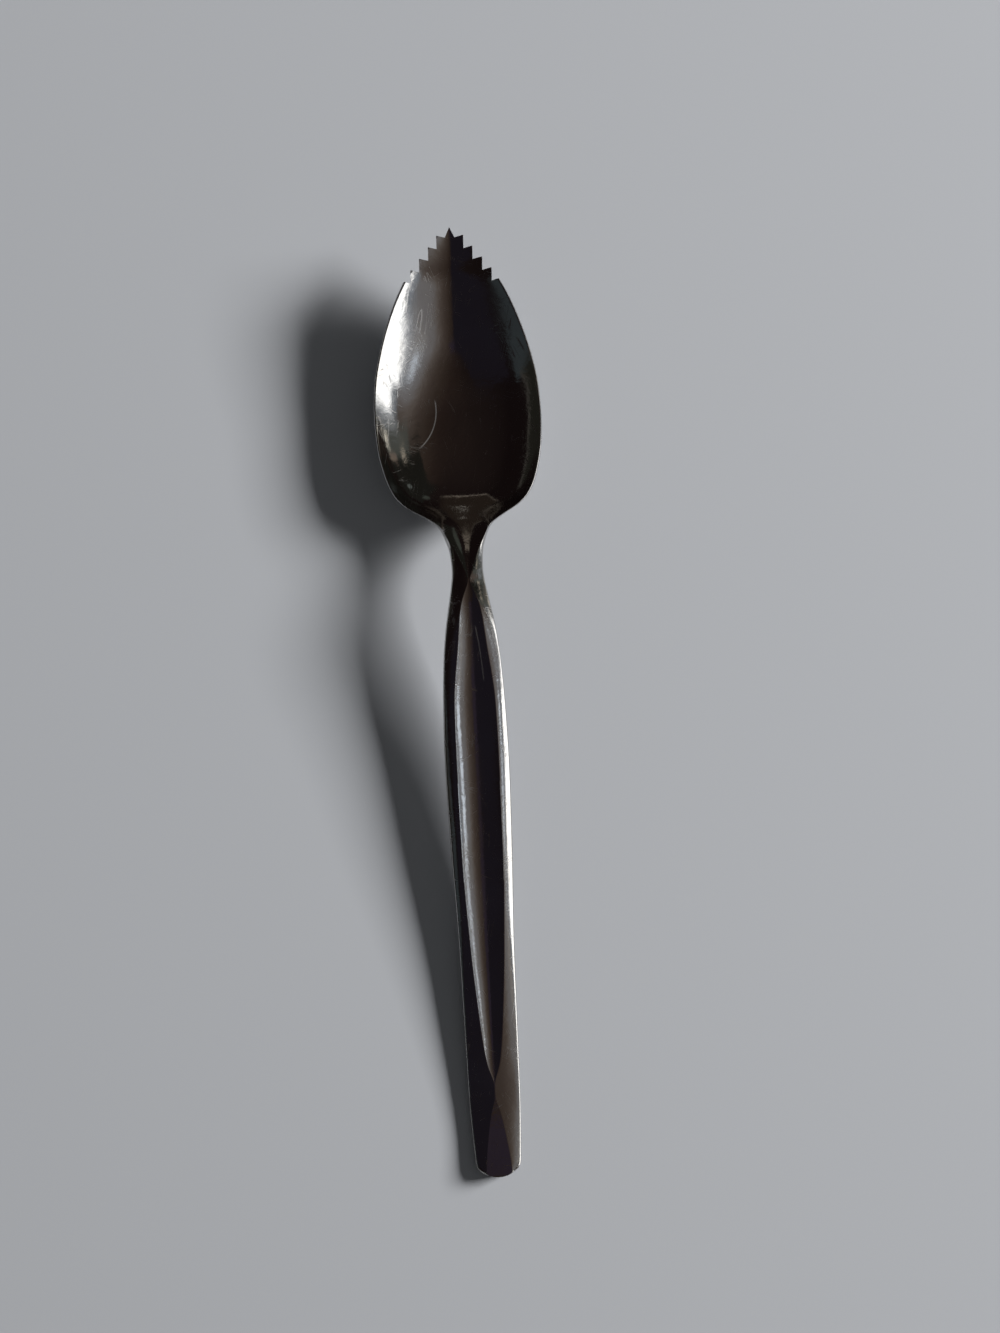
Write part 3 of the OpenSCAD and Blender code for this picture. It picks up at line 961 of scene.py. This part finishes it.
def add_tent():
    """A shell round the stage."""
    bpy.ops.object.select_all(action="DESELECT")
    bpy.ops.mesh.primitive_ico_sphere_add(subdivisions=TENT_ROUNDNESS, radius=TENT_RADIUS)
    tent = bpy.context.object
    tent.name = "tent"
    material, tree, glow = glowing("tent_glow")
    where = add_node(tree, "ShaderNodeTexCoord").outputs["Object"]
    outward = add_node(tree, "ShaderNodeVectorMath", {0: where}, operation="NORMALIZE")
    near = add_node(tree, "ShaderNodeVectorMath", {
        0: outward.outputs[0], 1: heading(TENT_TURN, TENT_RISE)}, operation="DOT_PRODUCT")
    ramp = add_node(tree, "ShaderNodeValToRGB", {0: near.outputs["Value"]})
    stops = ramp.color_ramp.elements
    while len(stops) < len(TENT_STOPS):
        stops.new(0.5)
    for stop, (place, colour) in zip(stops, TENT_STOPS):
        stop.position = place
        stop.color = (*colour, 1)
    tree.links.new(ramp.outputs[0], glow.inputs["Color"])
    tent.data.materials.append(material)
    only_mirrored(tent)
    print("tent faces:", len(tent.data.polygons))


add_tent()

# %% [markdown]
# The cards hang inside the tent. The brightest are the window and its frame. The rest give the
# metal the small things that a room has: a lit frame high above the window, a second small
# window, rails and shelves, and dim walls on the other sides.

# %% Card table
# Name, from and to of its turn, from and to of its rise in degrees, colour, brightness, and for
# a slanted card the rise that it gains per degree of turn. A card hides those below it here.
CARDS = (
    ("window", (-37, -8), (-10, 21.8), (1, 0.99, 0.97), 2.3, 0.37),
    ("window_edge", (-8, 3.5), (0, 23.5), (1, 0.99, 0.97), 2.3, -0.2),
    ("window_head", (-38, -8), (10, 27.5), (0.8, 0.88, 1), 0.28, 0.37),
    ("window_shade", (-8, 5), (20, 30), (0.85, 0.92, 1), 0.24),
    ("window_jamb", (3.5, 6), (0, 25), (0.95, 0.98, 1), 0.7),
    ("window_wall", (6, 9.5), (0, 30), (0.9, 0.95, 1), 0.22),
    ("high_frame", (-18.5, -13), (39, 45.3), (0.82, 0.9, 1), 1.15),
    ("warm_frame", (-27, -15), (35.5, 46), (1, 0.93, 0.88), 0.26),
    ("small_window", (11, 12.6), (0, 9), (1, 0.93, 0.8), 1.1),
    ("beige_shelf", (14.3, 16.8), (28, 36), (1, 0.88, 0.72), 0.5),
    ("brown_box", (14.8, 17.2), (5, 18), (1, 0.78, 0.63), 0.22),
    ("dark_corner", (8, 16), (0, 45), (0.95, 1, 0.9), 0.09),
    ("dim_shape_low", (27, 33), (17, 26), (0.9, 1, 0.95), 0.13),
    ("dim_shape_side", (54, 64), (22, 32), (0.9, 1, 0.85), 0.06),
    ("dark_room", (16, 60), (0, 60), (1, 0.95, 0.8), 0.014),
    ("west_rail", (140, 193), (4, 6.5), (1, 0.92, 0.8), 0.06, 0.46),
    ("west_wall", (140, 193), (-10, 4), (1, 0.95, 0.75), 0.016, 0.46),
    ("west_shelf", (190, 218), (20, 35), (0.78, 0.93, 1), 0.045),
    ("north_spark", (84.6, 85.6), (15.4, 16.8), (1, 0.95, 0.85), 0.6),
    ("north_rail", (77, 100), (38.5, 41), (1, 0.85, 0.7), 0.2),
    ("north_post", (100, 108), (36, 41), (1, 0.85, 0.7), 0.1, -3.6),
    ("north_wall", (77, 100), (-5, 38.5), (1, 0.72, 0.55), 0.022),
    ("north_wall_end", (100, 108), (-10, 36), (1, 0.72, 0.55), 0.022, -3.6),
    ("south_wall", (-165, -85), (40, 80), (0.85, 0.7, 1), 0.015),
    ("south_ceiling", (-92, -54), (70.5, 79), (0.88, 0.66, 1), 0.034),
)
print("cards:", len(CARDS))

# %% [markdown]
# Each card is a patch of a sphere round the spoon, bent from a flat grid, so that all of it
# faces the spoon. Later cards hang a little farther out, so no two lie in one surface.

# %% Hang the cards
CARD_STEPS, NEAREST_CARD, CARD_SPACING = 24, 0.7, 0.01


def add_card(radius, name, turns, rises, colour, brightness, slant=0):
    """A patch of a sphere round the spoon that glows evenly."""
    bpy.ops.object.select_all(action="DESELECT")
    bpy.ops.mesh.primitive_grid_add(x_subdivisions=CARD_STEPS, y_subdivisions=CARD_STEPS, size=1)
    card = bpy.context.object
    card.name = "card_" + name
    for vert in card.data.vertices:
        across = (turns[1] - turns[0]) * (vert.co.x + 0.5)
        rise = rises[0] + (rises[1] - rises[0]) * (vert.co.y + 0.5) + slant * across
        vert.co = radius * heading(math.radians(turns[0] + across), math.radians(rise))
    material, _, glow = glowing("card_" + name)
    glow.inputs["Color"].default_value = (*colour, 1)
    glow.inputs["Strength"].default_value = brightness
    card.data.materials.append(material)
    only_mirrored(card)


for number, card in enumerate(CARDS):
    add_card(TENT_RADIUS * (NEAREST_CARD + CARD_SPACING * number), *card)
print("farthest card, m:", round(TENT_RADIUS * (NEAREST_CARD + CARD_SPACING * number), 2))

# %% [markdown]
# Past the floor the camera and the metal both see a pale backdrop. One strength for all rays
# would make the shadow as pale as the backdrop, so all other rays see a weaker fill, which only
# lifts the shadow a little.

# %% World
FILL, BACKDROP, BACKDROP_COLOUR = 0.1, 0.62, (0.96, 0.98, 1, 1)


def set_world():
    """Pale for camera and mirror rays, and a plain fill for the rest."""
    world = bpy.data.worlds.new("studio")
    bpy.context.scene.world = world
    world.use_nodes = True
    tree = world.node_tree
    tree.nodes.clear()
    rays = add_node(tree, "ShaderNodeLightPath")
    seen = calc(tree, "MAXIMUM", rays.outputs["Is Camera Ray"], rays.outputs["Is Glossy Ray"])
    seen = calc(tree, "MAXIMUM", seen, rays.outputs["Is Transmission Ray"])
    strength = remap(tree, seen, 0, 1, FILL, BACKDROP)
    back = add_node(
        tree, "ShaderNodeBackground", {"Color": BACKDROP_COLOUR, "Strength": strength})
    add_node(tree, "ShaderNodeOutputWorld", {0: back.outputs[0]})


set_world()
bpy.context.scene.view_settings.view_transform = "Standard"
print("fill and backdrop:", FILL, BACKDROP)
